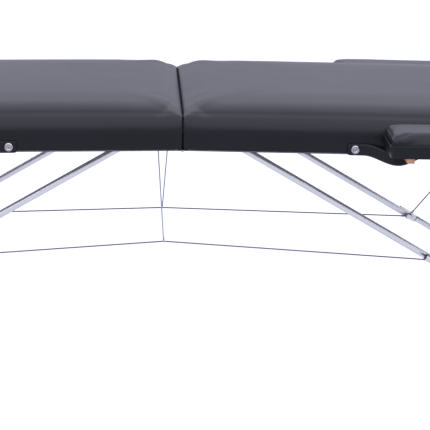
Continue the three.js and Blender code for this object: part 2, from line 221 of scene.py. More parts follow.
def vinylFinish(name, dark, pale, roughness, grain, creases):
    f = Finish(name, Specular_IOR_Level=0.5, IOR=1.3)
    cloudy = f.noise(5.0, 4.0)
    pores = f.cells(grain, "DISTANCE_TO_EDGE")
    fine = f.noise(grain * 1.7, 2.0)
    folds = f.noise(5.0, 3.0, f.stretched((0.6, 1.6, 1.2)), 0.5)
    colour = f.ramp(cloudy, shades(dark, pale, 0.3, 0.75))
    grained = f.bump(pores * 0.6 + fine * 0.4, 0.00012, 0.4)
    return f.feed(
        Base_Color=colour,
        Roughness=roughness + 0.08 * (cloudy - 0.5) + 0.04 * fine,
        Normal=f.bump(folds, creases, 1.0, grained),
    )


def metalFinish(name, colour, worn, roughness, along, brushing=0.000006):
    f = Finish(name, Metallic=1.0)
    streaks = f.noise(60.0, 4.0, f.stretched(along))
    blotches = f.noise(14.0, 4.0)
    tint = f.blend(0.65 * blotches + 0.2 * streaks, (*colour, 1), (*worn, 1))
    return f.feed(
        Base_Color=tint,
        Roughness=roughness + 0.14 * (streaks - 0.5) + 0.1 * (blotches - 0.5),
        Normal=f.bump(streaks, brushing, 0.6),
    )


def woodFinish(name, pale, dark, along, roughness):
    f = Finish(name, Coat_Weight=0.12)
    grain = f.noise(26.0, 6.0, f.stretched(along), 0.62)
    rings = f.node("ShaderNodeTexWave", {"wave_type": "BANDS", "bands_direction": "Y"},
                   {"Vector": f.stretched(along), "Scale": 30.0, "Distortion": 7.0, "Detail": 3.0})
    colour = f.ramp(grain * 0.6 + rings * 0.4, shades(dark, pale, 0.25, 0.8))
    return f.feed(Base_Color=colour, Roughness=roughness + 0.15 * grain, Normal=f.bump(grain, 0.0002, 0.6))


def mouldedFinish(name, colour, roughness, bumpScale=900.0):
    f = Finish(name)
    speckle, cloudy = f.noise(bumpScale, 3.0), f.noise(25.0, 3.0)
    pale = tuple(c * 1.9 + 0.006 for c in colour)
    return f.feed(
        Base_Color=f.ramp(cloudy, shades(colour, pale, 0.35, 0.8)),
        Roughness=roughness + 0.12 * (speckle - 0.5),
        Normal=f.bump(speckle, 0.0001, 0.5),
    )


def braidFinish(name, dark, pale, pitch, roughness, metallic):
    f = Finish(name, Metallic=metallic)
    weave = f.node("ShaderNodeTexWave", {"wave_type": "BANDS", "bands_direction": "DIAGONAL"},
                   {"Vector": f.place, "Scale": pitch, "Distortion": 0.6, "Detail": 1.0})
    return f.feed(
        Base_Color=f.ramp(weave, shades(dark, pale, 0.2, 0.8)),
        Roughness=roughness + 0.1 * weave,
        Normal=f.bump(weave, 0.00015, 0.6),
    )


finishes = {
    "topVinyl": vinylFinish("cushion vinyl", (0.0013, 0.0016, 0.0028), (0.0028, 0.0032, 0.0052),
                            0.36, 620.0, 0.0010),
    "armVinyl": vinylFinish("armrest vinyl", (0.0013, 0.0016, 0.0026), (0.0028, 0.0032, 0.0048),
                            0.34, 620.0, 0.0006),
    "strapVinyl": vinylFinish("strap vinyl", (0.0015, 0.0017, 0.0025), (0.003, 0.0033, 0.005),
                              0.42, 800.0, 0.0002),
    "tube": metalFinish("brace tube steel", (0.60, 0.61, 0.60), (0.50, 0.51, 0.51), 0.34,
                        (1.0, 14.0, 14.0)),
    "leg": metalFinish("leg tube steel", (0.60, 0.61, 0.60), (0.50, 0.51, 0.51), 0.34, (14.0, 14.0, 1.0)),
    "zinc": metalFinish("zinc plate", (0.55, 0.57, 0.60), (0.42, 0.43, 0.44), 0.38, (5.0, 5.0, 5.0)),
    "bolt": metalFinish("bolt steel", (0.62, 0.63, 0.66), (0.45, 0.46, 0.48), 0.28, (9.0, 9.0, 9.0)),
    "cup": metalFinish("cup washer nickel", (0.36, 0.37, 0.40), (0.20, 0.21, 0.23), 0.22, (9.0, 9.0, 9.0)),
    "screw": metalFinish("screw brass", (0.62, 0.36, 0.22), (0.38, 0.20, 0.12), 0.30, (9.0, 9.0, 9.0)),
    "wire": braidFinish("cable wire", (0.045, 0.046, 0.050), (0.15, 0.155, 0.165), 220.0, 0.40, 0.5),
    "cord": braidFinish("drop cord", (0.20, 0.215, 0.24), (0.36, 0.38, 0.41), 260.0, 0.62, 0.0),
    "railWood": woodFinish("rail wood", (0.17, 0.165, 0.16), (0.09, 0.086, 0.083), (1.0, 12.0, 12.0), 0.42),
    "deckPly": woodFinish("deck plywood", (0.22, 0.215, 0.21), (0.14, 0.136, 0.132), (1.0, 7.0, 7.0), 0.5),
    "blockWood": woodFinish("armrest wood", (0.62, 0.34, 0.18), (0.36, 0.17, 0.08), (8.0, 1.0, 8.0), 0.4),
    "plug": mouldedFinish("end plug plastic", (0.012, 0.012, 0.014), 0.42),
    "rubber": mouldedFinish("foot rubber", (0.014, 0.014, 0.015), 0.72, 500.0),
    "knob": mouldedFinish("knob plastic", (0.012, 0.013, 0.015), 0.40),
    "thread": braidFinish("seam thread", (0.018, 0.019, 0.025), (0.045, 0.047, 0.058), 900.0, 0.6, 0.0),
}
print("finishes ready", len(finishes))


def deselectAll():
    if bpy.context.mode != "OBJECT":
        bpy.ops.object.mode_set(mode="OBJECT")
    bpy.ops.object.select_all(action="DESELECT")


def pick(piece):
    deselectAll()
    piece.select_set(True)
    bpy.context.view_layer.objects.active = piece


def chooseFaces(piece, test):
    mesh = bmesh.from_edit_mesh(piece.data)
    bpy.ops.mesh.select_all(action="DESELECT")
    for face in mesh.faces:
        face.select = test(face)
    mesh.select_flush_mode()
    bmesh.update_edit_mesh(piece.data)


def applyPlace(piece):
    pick(piece)
    bpy.ops.object.transform_apply(location=True, rotation=True, scale=True)


def addModifier(piece, kind, **settings):
    pick(piece)
    modifier = piece.modifiers.new(kind.lower(), kind)
    for key, value in settings.items():
        setattr(modifier, key, value)
    bpy.ops.object.modifier_apply(modifier=modifier.name)


def smooth(piece, angle=35):
    pick(piece)
    bpy.ops.object.shade_smooth_by_angle(angle=math.radians(angle))


def paint(piece, finish):
    piece.data.materials.clear()
    piece.data.materials.append(finishes[finish])
    return piece


def finishPiece(piece, name, finish, body, slot, *nodes):
    piece.name = piece.data.name = name
    if finish:
        paint(piece, finish)
    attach(piece, body)
    if nodes:
        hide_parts(*nodes)
    return piece


def joined(pieces):
    deselectAll()
    for piece in pieces:
        piece.select_set(True)
    bpy.context.view_layer.objects.active = pieces[0]
    if len(pieces) > 1:
        bpy.ops.object.join()
    return bpy.context.view_layer.objects.active


def turnTo(direction):
    return Vector((0, 0, 1)).rotation_difference(direction.normalized()).to_euler()


# a round bar: flat ends with a small edge, or open ends with a wall, or domed ends
def roundBar(start, end, radius, wall=0.0, edge=0.0005, sides_=32, finish="tube", flare=0.0):
    start, end = Vector(start), Vector(end)
    deselectAll()
    bpy.ops.mesh.primitive_cylinder_add(vertices=sides_, radius=radius, depth=(end - start).length,
                                        location=(start + end) / 2, rotation=turnTo(end - start))
    piece = bpy.context.active_object
    bpy.ops.object.mode_set(mode="EDIT")
    bpy.ops.mesh.select_mode(type="FACE")
    chooseFaces(piece, lambda f: len(f.verts) > 4)
    if wall:
        bpy.ops.mesh.inset(thickness=wall)
        bpy.ops.mesh.extrude_region_shrink_fatten(TRANSFORM_OT_shrink_fatten={"value": -min(0.012, radius)})
    elif flare:
        bpy.ops.mesh.inset(thickness=radius * 0.45)
        bpy.ops.transform.shrink_fatten(value=flare)
    bpy.ops.object.mode_set(mode="OBJECT")
    if edge:
        addModifier(piece, "BEVEL", width=edge, segments=2, limit_method="ANGLE",
                    angle_limit=math.radians(40))
    applyPlace(piece)
    smooth(piece)
    return paint(piece, finish)


def hexHead(centre, axis, radius, height, finish="bolt"):
    start = Vector(centre)
    end = start + Vector(axis).normalized() * height
    deselectAll()
    bpy.ops.mesh.primitive_cylinder_add(vertices=6, radius=radius, depth=height,
                                        location=(start + end) / 2, rotation=turnTo(end - start))
    piece = bpy.context.active_object
    bpy.ops.object.mode_set(mode="EDIT")
    bpy.ops.mesh.select_mode(type="FACE")
    chooseFaces(piece, lambda f: len(f.verts) > 4)
    bpy.ops.mesh.inset(thickness=radius * 0.18)
    bpy.ops.transform.shrink_fatten(value=height * 0.12)
    bpy.ops.object.mode_set(mode="OBJECT")
    addModifier(piece, "BEVEL", width=height * 0.1, segments=2, limit_method="ANGLE",
                angle_limit=math.radians(20))
    applyPlace(piece)
    smooth(piece, 30)
    return paint(piece, finish)


def inSection(side, piece):
    piece.data.transform(sectionMatrix(side))
    if sides[side] < 0:
        piece.data.flip_normals()
    return piece


# turns the square edge between two directions into a quarter of an ellipse
def roundEdge(p, first, second, low, high, radii):
    a = p[:, first] - np.clip(p[:, first], low[first] + radii[0], high[first] - radii[0])
    b = p[:, second] - np.clip(p[:, second], low[second] + radii[1], high[second] - radii[1])
    a, b = a / radii[0], b / radii[1]
    most, length = np.maximum(np.abs(a), np.abs(b)), np.hypot(a, b)
    scale = np.where(length > 1e-9, most / np.maximum(length, 1e-9), 1) - 1
    p[:, first] += a * scale * radii[0]
    p[:, second] += b * scale * radii[1]


def roundedBlock(p, soft):
    floor = (soft["low"][0], soft["low"][1], -1.0)      # only the upper edges are rounded
    roundEdge(p, 1, 2, floor, soft["high"], soft["sideRoll"])
    roundEdge(p, 0, 2, floor, soft["high"], soft["endRoll"])
    roundEdge(p, 0, 1, soft["low"], soft["high"], (soft["cornerRadius"],) * 2)
    return p


def puffed(piece, soft):
    # the foam pushes the cover out; the part over the rails is tacked down
    rest = np.array([v.co for v in piece.data.vertices])
    group = piece.vertex_groups.new(name="tacked")
    for i in np.nonzero(rest[:, 2] < soft["tackedTo"])[0]:
        group.add([int(i)], 1.0, "REPLACE")
    pick(piece)
    cloth = piece.modifiers.new("cloth", "CLOTH")
    cloth.settings.quality = 4
    cloth.settings.mass = 0.3
    cloth.settings.tension_stiffness = cloth.settings.compression_stiffness = 20
    cloth.settings.bending_stiffness = 1.5
    cloth.settings.use_pressure = True
    cloth.settings.uniform_pressure_force = soft["pressure"]
    cloth.settings.vertex_group_mass = "tacked"
    cloth.settings.effector_weights.gravity = 0
    cloth.collision_settings.use_collision = False
    cloth.point_cache.frame_start, cloth.point_cache.frame_end = 1, 20
    scene = bpy.context.scene
    for number in range(1, 21):
        scene.frame_set(number)
    bpy.ops.object.modifier_apply(modifier="cloth")
    scene.frame_set(1)
    moved = np.array([v.co for v in piece.data.vertices]) - rest
    far = np.linalg.norm(moved, axis=1)
    print("   cover moved", round(float(far.max()) * 1000, 1), "mm before the cap")
    moved *= np.minimum(1, soft["cap"] / np.maximum(far, 1e-9))[:, None]
    free = np.clip((rest[:, 2] - soft["tackedTo"]) / (soft["high"][2] - 12 * mm - soft["tackedTo"]), 0, 1)
    moved *= (free * free * (3 - 2 * free))[:, None]      # no step where the tacked part ends
    piece.data.vertices.foreach_set("co", (rest + moved).ravel())
    piece.vertex_groups.clear()


def softBlock(soft):
    low, high = Vector(soft["low"]), Vector(soft["high"])
    deselectAll()
    bpy.ops.mesh.primitive_cube_add(size=1, location=(low + high) / 2, scale=high - low)
    piece = bpy.context.active_object
    applyPlace(piece)
    addModifier(piece, "REMESH", mode="VOXEL", voxel_size=soft["voxel"])
    p = np.array([v.co for v in piece.data.vertices])
    p = np.clip(p, soft["low"], soft["high"])
    p = roundedBlock(p, soft)
    piece.data.vertices.foreach_set("co", p.ravel())
    piece.data.update()
    puffed(piece, soft)
    addModifier(piece, "SUBSURF", levels=1, render_levels=1)
    divideNearCreases(piece, soft)
    shapeMore(piece, soft)
    openBelow(piece, soft)
    return piece


def nearestOn(p, start, end):
    start, end = np.array(start), np.array(end)
    way = end - start
    t = np.clip(((p - start) @ way) / (way @ way), 0, 1)
    return t, np.linalg.norm(p - (start + np.multiply.outer(t, way)), axis=-1)


def divideNearCreases(piece, soft):
    pick(piece)
    bpy.ops.object.mode_set(mode="EDIT")
    bpy.ops.mesh.select_mode(type="FACE")
    chooseFaces(piece, lambda f: any(
        nearestOn(np.array(f.calc_center_median()), start, end)[1] < 4 * width
        for start, end, width, depth in soft["creases"]))
    bpy.ops.mesh.subdivide(number_cuts=2)
    bpy.ops.object.mode_set(mode="OBJECT")


# crown over the whole pad, the bulge where two pads meet and small creases that run up from the corners
def shapeMore(piece, soft):
    p = np.array([v.co for v in piece.data.vertices])
    low, high = np.array(soft["low"]), np.array(soft["high"])
    centre = (low + high) / 2
    across = (p - centre) / ((high - low) / 2)
    upper = np.clip((p[:, 2] - centre[2]) / (high[2] - centre[2]), 0, 1)
    p[:, 2] += (soft["crown"] * upper * np.clip(1 - across[:, 0] ** 4, 0, 1)
                * np.clip(1 - across[:, 1] ** 4, 0, 1))
    for start, end, width, depth in soft["creases"]:
        t, gap = nearestOn(p, start, end)
        fade = np.sin(np.clip(t * 0.9 + 0.1, 0, 1) * np.pi) ** 0.6
        sink = depth * np.exp(-(gap / width) ** 2) * fade
        inward = centre - p
        inward /= np.linalg.norm(inward, axis=1)[:, None]
        p += inward * sink[:, None]
    if soft["bulge"]:
        rise = np.clip((p[:, 2] - soft["bulgeFrom"]) / soft["bulgeOver"], 0, 1)
        rise = rise * rise * (3 - 2 * rise)
        p[:, 0] -= soft["bulge"] * rise * np.clip(1 - (p[:, 0] - low[0]) / soft["bulgeReach"], 0, 1)
        # the two pads press flat on each other along the hinge line
        p[:, 0] = np.maximum(p[:, 0], 0.15 * mm - (p[:, 2] + table["pinDrop"]) * math.sin(table["crown"]))
    p[:, 2] = np.maximum(p[:, 2], low[2])
    piece.data.vertices.foreach_set("co", p.ravel())
    piece.data.update()


# takes the underside off, then turns the rim in under the rails and up round them to a closed lining
def openBelow(piece, soft):
    low, high = soft["low"], soft["high"]
    pick(piece)
    bpy.ops.object.mode_set(mode="EDIT")
    bpy.ops.mesh.select_mode(type="FACE")
    chooseFaces(piece, lambda f: f.normal.z < -0.6 and f.calc_center_median().z < low[2] + soft["voxel"] * 0.6)
    bpy.ops.mesh.delete(type="FACE")
    bpy.ops.mesh.select_mode(type="EDGE")
    bpy.ops.mesh.select_all(action="DESELECT")
    bpy.ops.mesh.select_non_manifold(extend=False)
    mesh = bmesh.from_edit_mesh(piece.data)
    rim = mesh.verts.layers.float_vector.new("rim")
    for v in mesh.verts:
        if v.select:
            v.co.z = low[2]
            v[rim] = v.co
    bmesh.update_edit_mesh(piece.data)
    for inset, depth in ((soft["lip"], 0.0), (soft["lip"], soft["lipThickness"]),
                         (soft["wall"], soft["lipThickness"]),
                         (soft["wall"], soft["lining"])):
        bpy.ops.mesh.extrude_edges_move()
        mesh = bmesh.from_edit_mesh(piece.data)
        rim = mesh.verts.layers.float_vector["rim"]
        for v in mesh.verts:
            if v.select:
                v.co.x = min(max(v[rim].x, low[0] + inset), high[0] - inset)
                v.co.y = min(max(v[rim].y, low[1] + inset), high[1] - inset)
                v.co.z = low[2] + depth
        bmesh.update_edit_mesh(piece.data)
    bpy.ops.mesh.edge_face_add()
    bpy.ops.mesh.select_all(action="SELECT")
    bpy.ops.mesh.remove_doubles(threshold=0.00005)
    bpy.ops.mesh.normals_make_consistent(inside=False)
    bpy.ops.object.mode_set(mode="OBJECT")
    smooth(piece, 60)


cushion = {
    "low": (table["gap"], -table["halfWidth"], 0.0),
    "high": (table["length"], table["halfWidth"], 97 * mm),
    "cornerRadius": 9 * mm, "sideRoll": (84 * mm, 60 * mm), "endRoll": (62 * mm, 26 * mm),
    "voxel": 9 * mm, "pressure": 4.0, "cap": 2 * mm, "tackedTo": 20 * mm, "crown": 8 * mm,
    "bulge": 7 * mm, "bulgeFrom": -4 * mm, "bulgeOver": 8 * mm, "bulgeReach": 20 * mm,
    "wall": 2.2 * mm, "lip": 19 * mm, "lipThickness": 1 * mm, "lining": 46 * mm,
    "creases": [
        ((11 * mm, -299 * mm, 58 * mm), (43 * mm, -284 * mm, 80 * mm), 2.2 * mm, 2.6 * mm),
        ((3 * mm, -297 * mm, 50 * mm), (9 * mm, -293 * mm, 62 * mm), 2.2 * mm, 2.0 * mm),
        ((11 * mm, 299 * mm, 58 * mm), (43 * mm, 284 * mm, 80 * mm), 2.2 * mm, 2.4 * mm),
        ((914 * mm, -299 * mm, 58 * mm), (882 * mm, -284 * mm, 80 * mm), 2.2 * mm, 2.4 * mm),
        ((914 * mm, 299 * mm, 58 * mm), (882 * mm, 284 * mm, 80 * mm), 2.2 * mm, 2.4 * mm),
    ],
}


def makeCushions():
    first = softBlock(cushion)
    for side in sides:
        piece = first.copy()
        piece.data = first.data.copy()
        bpy.context.scene.collection.objects.link(piece)
        inSection(side, piece)
        finishPiece(piece, f"{side}_cushion", "topVinyl", f"{side}_section", "vinyl",
                    f"{side}_cover", f"{side}_foam")
    bpy.data.objects.remove(first)
    print("cushions made")


makeCushions()

strap = {"x": 463.5 * mm, "span": 180 * mm, "tab": 17 * mm, "z": 12.5 * mm,
         "width": 26 * mm, "thickness": 3.6 * mm, "foldKeep": 0.35,
         "bow": 28 * mm, "sag": 14 * mm, "foldZ": 13 * mm, "cup": 9.25 * mm, "stitch": 4.2 * mm}


def strapPoint(u, v, out):
    rise = (1 + math.cos(math.pi * max(-1, min(1, u / (strap["span"] / 2 - strap["tab"]))))) / 2
    y = -table["halfWidth"] - 0.0004 - out - strap["bow"] * rise
    lean = 0.22 * v * rise
    return Vector((strap["x"] + u, y + lean, strap["z"] + v - strap["sag"] * rise))


def makeStraps():
    reach = strap["span"] / 2 + strap["tab"]
    deselectAll()
    bpy.ops.mesh.primitive_grid_add(x_subdivisions=48, y_subdivisions=8, size=1)
    band = bpy.context.active_object
    for vertex in band.data.vertices:
        x, y = vertex.co.x, vertex.co.y
        corner = max(0, abs(x) - 0.47) / 0.03
        vertex.co = strapPoint(2 * x * reach, y * strap["width"] * (1 - 0.18 * corner ** 2),
                               strap["thickness"] / 2)
    pick(band)
    bpy.ops.object.mode_set(mode="EDIT")
    bpy.ops.mesh.select_all(action="SELECT")
    bpy.ops.mesh.normals_make_consistent(inside=False)
    bpy.ops.object.mode_set(mode="OBJECT")
    addModifier(band, "SOLIDIFY", thickness=strap["thickness"], offset=0)
    addModifier(band, "BEVEL", width=0.0011, segments=3, limit_method="ANGLE", angle_limit=math.radians(50))
    smooth(band, 50)
    paint(band, "strapVinyl")
    stitches = []
    count = int(2 * reach / strap["stitch"])
    for edge in (-1, 1):
        for i in range(2, count - 1):
            u = -reach + (i + 0.5) * 2 * reach / count
            v = edge * (strap["width"] / 2 - 3 * mm)
            a, b = strapPoint(u - 1.3 * mm, v, strap["thickness"]), strapPoint(u + 1.3 * mm, v,
                                                                               strap["thickness"])
            stitches.append(((a + b) / 2 + Vector((0, -0.0001, 0)), b - a))
    deselectAll()
    bpy.ops.mesh.primitive_cylinder_add(vertices=6, radius=0.00042, depth=0.0026)
    one = bpy.context.active_object
    addModifier(one, "BEVEL", width=0.0002, segments=1, limit_method="ANGLE", angle_limit=math.radians(50))
    parts = []
    for middle, way in stitches:
        copy = one.copy()
        copy.data = one.data.copy()
        copy.data.transform(Matrix.Translation(middle) @ turnTo(way).to_matrix().to_4x4())
        bpy.context.scene.collection.objects.link(copy)
        parts.append(paint(copy, "thread"))
    bpy.data.objects.remove(one)
    for end in (-1, 1):
        centre = strapPoint(end * strap["span"] / 2, 0, strap["thickness"])
        parts += cupWasher(centre)
    whole = joined([band, *parts])
    for side in sides:
        piece = whole.copy()
        piece.data = whole.data.copy()
        bpy.context.scene.collection.objects.link(piece)
        inSection(side, piece)
        finishPiece(piece, f"{side}_carry_strap", None, f"{side}_section", "strap", f"{side}_carry_handle")
        lift = place(side, 0, 0, 1) - place(side, 0, 0, 0)
        anchor = place(side, strap["x"], -table["halfWidth"], strap["foldZ"])
        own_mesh(piece)
    bpy.data.objects.remove(whole)
    print("straps made")


# a pressed ring with a raised lip round a countersunk cross-head screw
def cupWasher(centre):
    deselectAll()
    bpy.ops.mesh.primitive_cylinder_add(vertices=48, radius=strap["cup"], depth=0.0012,
                                        location=centre + Vector((0, -0.0005,
                                                                  0)), rotation=(math.pi / 2, 0, 0))
    ring = bpy.context.active_object
    bpy.ops.object.mode_set(mode="EDIT")
    bpy.ops.mesh.select_mode(type="FACE")
    applyNormals = ring.matrix_world.to_3x3()
    chooseFaces(ring, lambda f: len(f.verts) > 4 and (applyNormals @ f.normal).y < -0.5)
    for inset, rise in ((0.0014, 0.0012), (0.0022, 0.0006), (0.0014, -0.0012)):
        bpy.ops.mesh.inset(thickness=inset)
        bpy.ops.transform.shrink_fatten(value=rise)
    bpy.ops.object.mode_set(mode="OBJECT")
    addModifier(ring, "BEVEL", width=0.0003, segments=2, limit_method="ANGLE", angle_limit=math.radians(25))
    applyPlace(ring)
    smooth(ring, 50)
    paint(ring, "cup")
    head = roundBar(centre + Vector((0, -0.0012, 0)), centre + Vector((0, -0.0022, 0)), 0.0034,
                    edge=0.0004, finish="screw", flare=0.0004)
    # the cross in the screw head is drawn as two black plastic bars over the brass head: painted shade where
    # the real recess is brass in shadow
    painted_shade_bars = []
    for turn in (0.35, 0.35 + math.pi / 2):
        way = Vector((math.cos(turn), 0, math.sin(turn))) * 0.0022
        middle = centre + Vector((0, -0.0026, 0))
        painted_shade_bars.append(roundBar(middle - way, middle + way, 0.00045, edge=0, sides_=8, finish="plug"))
    return [ring, head, *painted_shade_bars]


makeStraps()


def endPlug(at, way, radius):
    way = way.normalized()
    return roundBar(at - way * 0.004, at + way * 0.0018, radius, edge=0.0012, finish="plug", flare=0.0008)


tubeRadius, legRadius = 8 * mm, 11 * mm


def makeBraces(side, row):
    s = rows[row]
    yU, yL = s * table["upperBraceY"], s * table["lowerBraceY"]
    out = Vector((0, s, 0))
    start = atY(braceBolt - alongBrace * 0.011, yU)
    end = atY(knuckle + alongBrace * 0.021, yU)
    k = atY(knuckle, yU)
    upper = joined([
        roundBar(start, end, tubeRadius, wall=0.0014),
        endPlug(end, alongBrace, tubeRadius - 0.0006),
        roundBar(atY(knuckle, s * (table["upperBraceY"] - tubeRadius + 0.002)),
                 atY(knuckle, s * 0.1672), 0.0038,
                 finish="bolt"),
        roundBar(atY(knuckle, s * 0.1755), atY(knuckle, s * 0.1742), 0.0075, finish="zinc"),
        hexHead(atY(knuckle, s * 0.1682), -out, 0.0065, 0.0042),
    ])
    inSection(side, upper)
    finishPiece(upper, f"{side}_{row}_upper_tube", None, f"{side}_{row}_upper_brace", "steel_tube",
                f"{side}_{row}_upper_brace")
    foot = onLeg(braceOnLeg)
    startL = atY(knuckle - alongBrace * 0.021, yL)
    endL = atY(foot + alongBrace * 0.0056, yL)
    headAt = atY(knuckle, yL + s * (tubeRadius - 0.0009))
    lower = joined([
        roundBar(startL, endL, tubeRadius, wall=0.0014),
        endPlug(startL, -alongBrace, tubeRadius - 0.0003),
        roundBar(headAt - out * 0.0012, headAt + out * 0.0008, 0.0068, finish="zinc"),
        hexHead(headAt, out, 0.0056, 0.0021),
    ])
    inSection(side, lower)
    finishPiece(lower, f"{side}_{row}_lower_tube", None, f"{side}_{row}_lower_brace", "steel_tube",
                f"{side}_{row}_lower_brace")


def makeLegs(side):
    legY = table["legY"][side]
    parts = []
    cross = onLeg(0.09)
    parts.append(roundBar(atY(cross, -legY + legRadius - 0.003),
                          atY(cross, legY - legRadius + 0.003), tubeRadius,
                          finish="leg"))
    for row, s in rows.items():
        y = s * legY
        out = Vector((0, s, 0))
        parts += [
            roundBar(onLeg(-0.012, y), onLeg(0.480, y), legRadius, wall=0.0017, finish="leg"),
            roundBar(onLeg(braceOnLeg - 0.009, y), onLeg(braceOnLeg + 0.009, y),
                     legRadius + 0.0012, edge=0.0008,
                     finish="zinc"),
            roundBar(onLeg(0.470, y), onLeg(0.4825, y), legRadius + 0.0009, edge=0.0008, finish="plug"),
        ]
        q = onLeg(braceOnLeg)
        parts.append(roundBar(atY(q, s * 0.1926), atY(q, s * (legY - legRadius + 0.001)), 0.0038,
                              finish="bolt"))
        parts.append(hexHead(atY(q, s * 0.1928), -out, 0.0065, 0.0038))
        if side == "left":
            parts.append(roundBar(atY(q, s * 0.2098), atY(q, s * (legY - legRadius + 0.001)),
                                  0.006, finish="zinc"))
        # the weld bead where the crossbar meets the leg
        parts.append(roundBar(atY(cross, s * (legY - legRadius - 0.002)),
                              atY(cross, s * (legY - legRadius + 0.003)),
                              tubeRadius + 0.0018, edge=0.0016, finish="zinc"))
    whole = joined(parts)
    inSection(side, whole)
    finishPiece(whole, f"{side}_leg_tubes", None, f"{side}_legs", "steel_tube", f"{side}_leg_frame")
    for row, s in rows.items():
        y = s * legY
        inner = roundBar(onLeg(0.200, y), onLeg(0.530, y), 0.0087, wall=0.0015, finish="bolt")
        painted_shade_rings = []
        for i in range(3):        # height marks pressed into the inner tube, drawn as dark plastic rings: painted shade where the pressed grooves hold shadow
            ringAt = 0.487 + i * 0.006
            painted_shade_rings.append(roundBar(onLeg(ringAt, y), onLeg(ringAt + 0.0009, y), 0.00885, edge=0.0002,
                                 finish="plug"))
        inner = joined([inner, *painted_shade_rings])
        inSection(side, inner)
        finishPiece(inner, f"{side}_{row}_inner_tube", None, f"{side}_{row}_leg_extension", "steel_tube",
                    f"{side}_{row}_lower_leg")
        makeFoot(side, row)
        makeKnob(side, row, y)


def makeFoot(side, row):
    low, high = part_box(f"{side}_{row}_foot")
    centre = (Vector(low) + Vector(high)) / 2
    radius, height = (high[0] - low[0]) / 2, high[2] - low[2]
    deselectAll()
    bpy.ops.mesh.primitive_cylinder_add(vertices=40, radius=radius, depth=height * 0.2,
                                        location=(centre.x, centre.y, height * 0.1))
    foot = bpy.context.active_object
    bpy.ops.object.mode_set(mode="EDIT")
    bpy.ops.mesh.select_mode(type="FACE")
    chooseFaces(foot, lambda f: f.normal.z > 0.5)
    for lift, scale in ((0.06, 0.93), (0.5, 0.97), (0.05, 0.99), (0.0, 0.95), (0.14, 0.94), (0.05, 0.94)):
        bpy.ops.mesh.extrude_region_move(TRANSFORM_OT_translate={"value": (0, 0, height * lift)})
        bpy.ops.transform.resize(value=(scale, scale, 1))
    chooseFaces(foot, lambda f: f.normal.z < -0.5)
    bpy.ops.mesh.inset(thickness=radius * 0.3)
    bpy.ops.transform.translate(value=(0, 0, 0.0012))
    bpy.ops.object.mode_set(mode="OBJECT")
    addModifier(foot, "BEVEL", width=0.0007, segments=2, limit_method="ANGLE", angle_limit=math.radians(25))
    applyPlace(foot)
    smooth(foot)
    finishPiece(foot, f"{side}_{row}_rubber_foot", "rubber", f"{side}_{row}_leg_extension", "foot_rubber",
                f"{side}_{row}_foot")


def makeKnob(side, row, y):
    away = Vector((-math.cos(table["legLean"]), 0, -math.sin(table["legLean"])))
    base = onLeg(0.452, y) + away * (legRadius + 0.0008)
    deselectAll()
    bpy.ops.mesh.primitive_cylinder_add(vertices=40, radius=0.0105, depth=0.0090)
    knob = bpy.context.active_object
    for vertex in knob.data.vertices:
        angle = math.atan2(vertex.co.y, vertex.co.x)
        size = 1 - 0.14 * (0.5 - 0.5 * math.cos(5 * angle)) ** 2
        vertex.co.x *= size
        vertex.co.y *= size
    bpy.ops.object.mode_set(mode="EDIT")
    bpy.ops.mesh.select_mode(type="FACE")
    chooseFaces(knob, lambda f: f.normal.z > 0.5)
    bpy.ops.mesh.inset(thickness=0.0035)
    bpy.ops.transform.translate(value=(0, 0, 0.0012))
    bpy.ops.mesh.inset(thickness=0.0012)
    bpy.ops.transform.translate(value=(0, 0, -0.0008))
    bpy.ops.object.mode_set(mode="OBJECT")
    addModifier(knob, "BEVEL", width=0.0008, segments=3, limit_method="ANGLE", angle_limit=math.radians(35))
    paint(knob, "knob")
    knob.data.transform(Matrix.Translation(base + away * 0.0052) @ turnTo(away).to_matrix().to_4x4())
    smooth(knob, 40)
    stem = roundBar(base - away * 0.0024, base + away * 0.0012, 0.0029, finish="bolt")
    whole = joined([knob, stem])
    inSection(side, whole)
    finishPiece(whole, f"{side}_{row}_star_knob", None, f"{side}_{row}_knob", "knob_plastic",
                f"{side}_{row}_leg_knob")


for side in sides:
    for row in rows:
        makeBraces(side, row)
    makeLegs(side)
print("braces and legs made")

rope = {"radius": 1.5 * mm, "strands": 6, "lay": 14 * mm, "cordRadius": 1.4 * mm,
        "foldZ": -2 * mm, "foldKeep": 0.03, "foldX": 450 * mm, "cordFoldX": 50 * mm}


def twisted(start, end, radius, finish, lay):
    start, end = Vector(start), Vector(end)
    length = (end - start).length
    turns = max(4, round(length / lay))
    deselectAll()
    bpy.ops.mesh.primitive_circle_add(vertices=rope["strands"] * 3, radius=radius)
    line = bpy.context.active_object
    for i, vertex in enumerate(line.data.vertices):
        if i % 3 == 0:
            vertex.co *= 0.74
    addModifier(line, "SCREW", axis="Z", angle=2 * math.pi * turns, screw_offset=length, steps=turns * 10,
                render_steps=turns * 10, use_smooth_shade=True)
    bpy.ops.object.mode_set(mode="EDIT")
    bpy.ops.mesh.select_mode(type="EDGE")
    bpy.ops.mesh.select_all(action="DESELECT")
    bpy.ops.mesh.select_non_manifold(extend=False)
    bpy.ops.mesh.fill_holes(sides=0)
    bpy.ops.mesh.select_all(action="SELECT")
    bpy.ops.mesh.normals_make_consistent(inside=False)
    bpy.ops.object.mode_set(mode="OBJECT")
    line.data.transform(Matrix.Translation(start) @ turnTo(end - start).to_matrix().to_4x4())
    return paint(line, finish)


def eyeAndCrimp(centre, way):
    way = way.normalized()
    deselectAll()
    bpy.ops.mesh.primitive_torus_add(major_radius=0.0058, minor_radius=0.0013, major_segments=32,
                                     minor_segments=12,
                                     location=centre, rotation=(math.pi / 2, 0, 0))
    eye = bpy.context.active_object
    eye.data.transform(Matrix.Scale(1.12, 4, (1, 0, 0)))
    applyPlace(eye)
    smooth(eye, 180)
    paint(eye, "wire")
    cup = roundBar(centre + way * 0.0080, centre + way * 0.0180, 0.0026, edge=0.0007, sides_=20,
                   finish="cup")
    return [eye, cup]


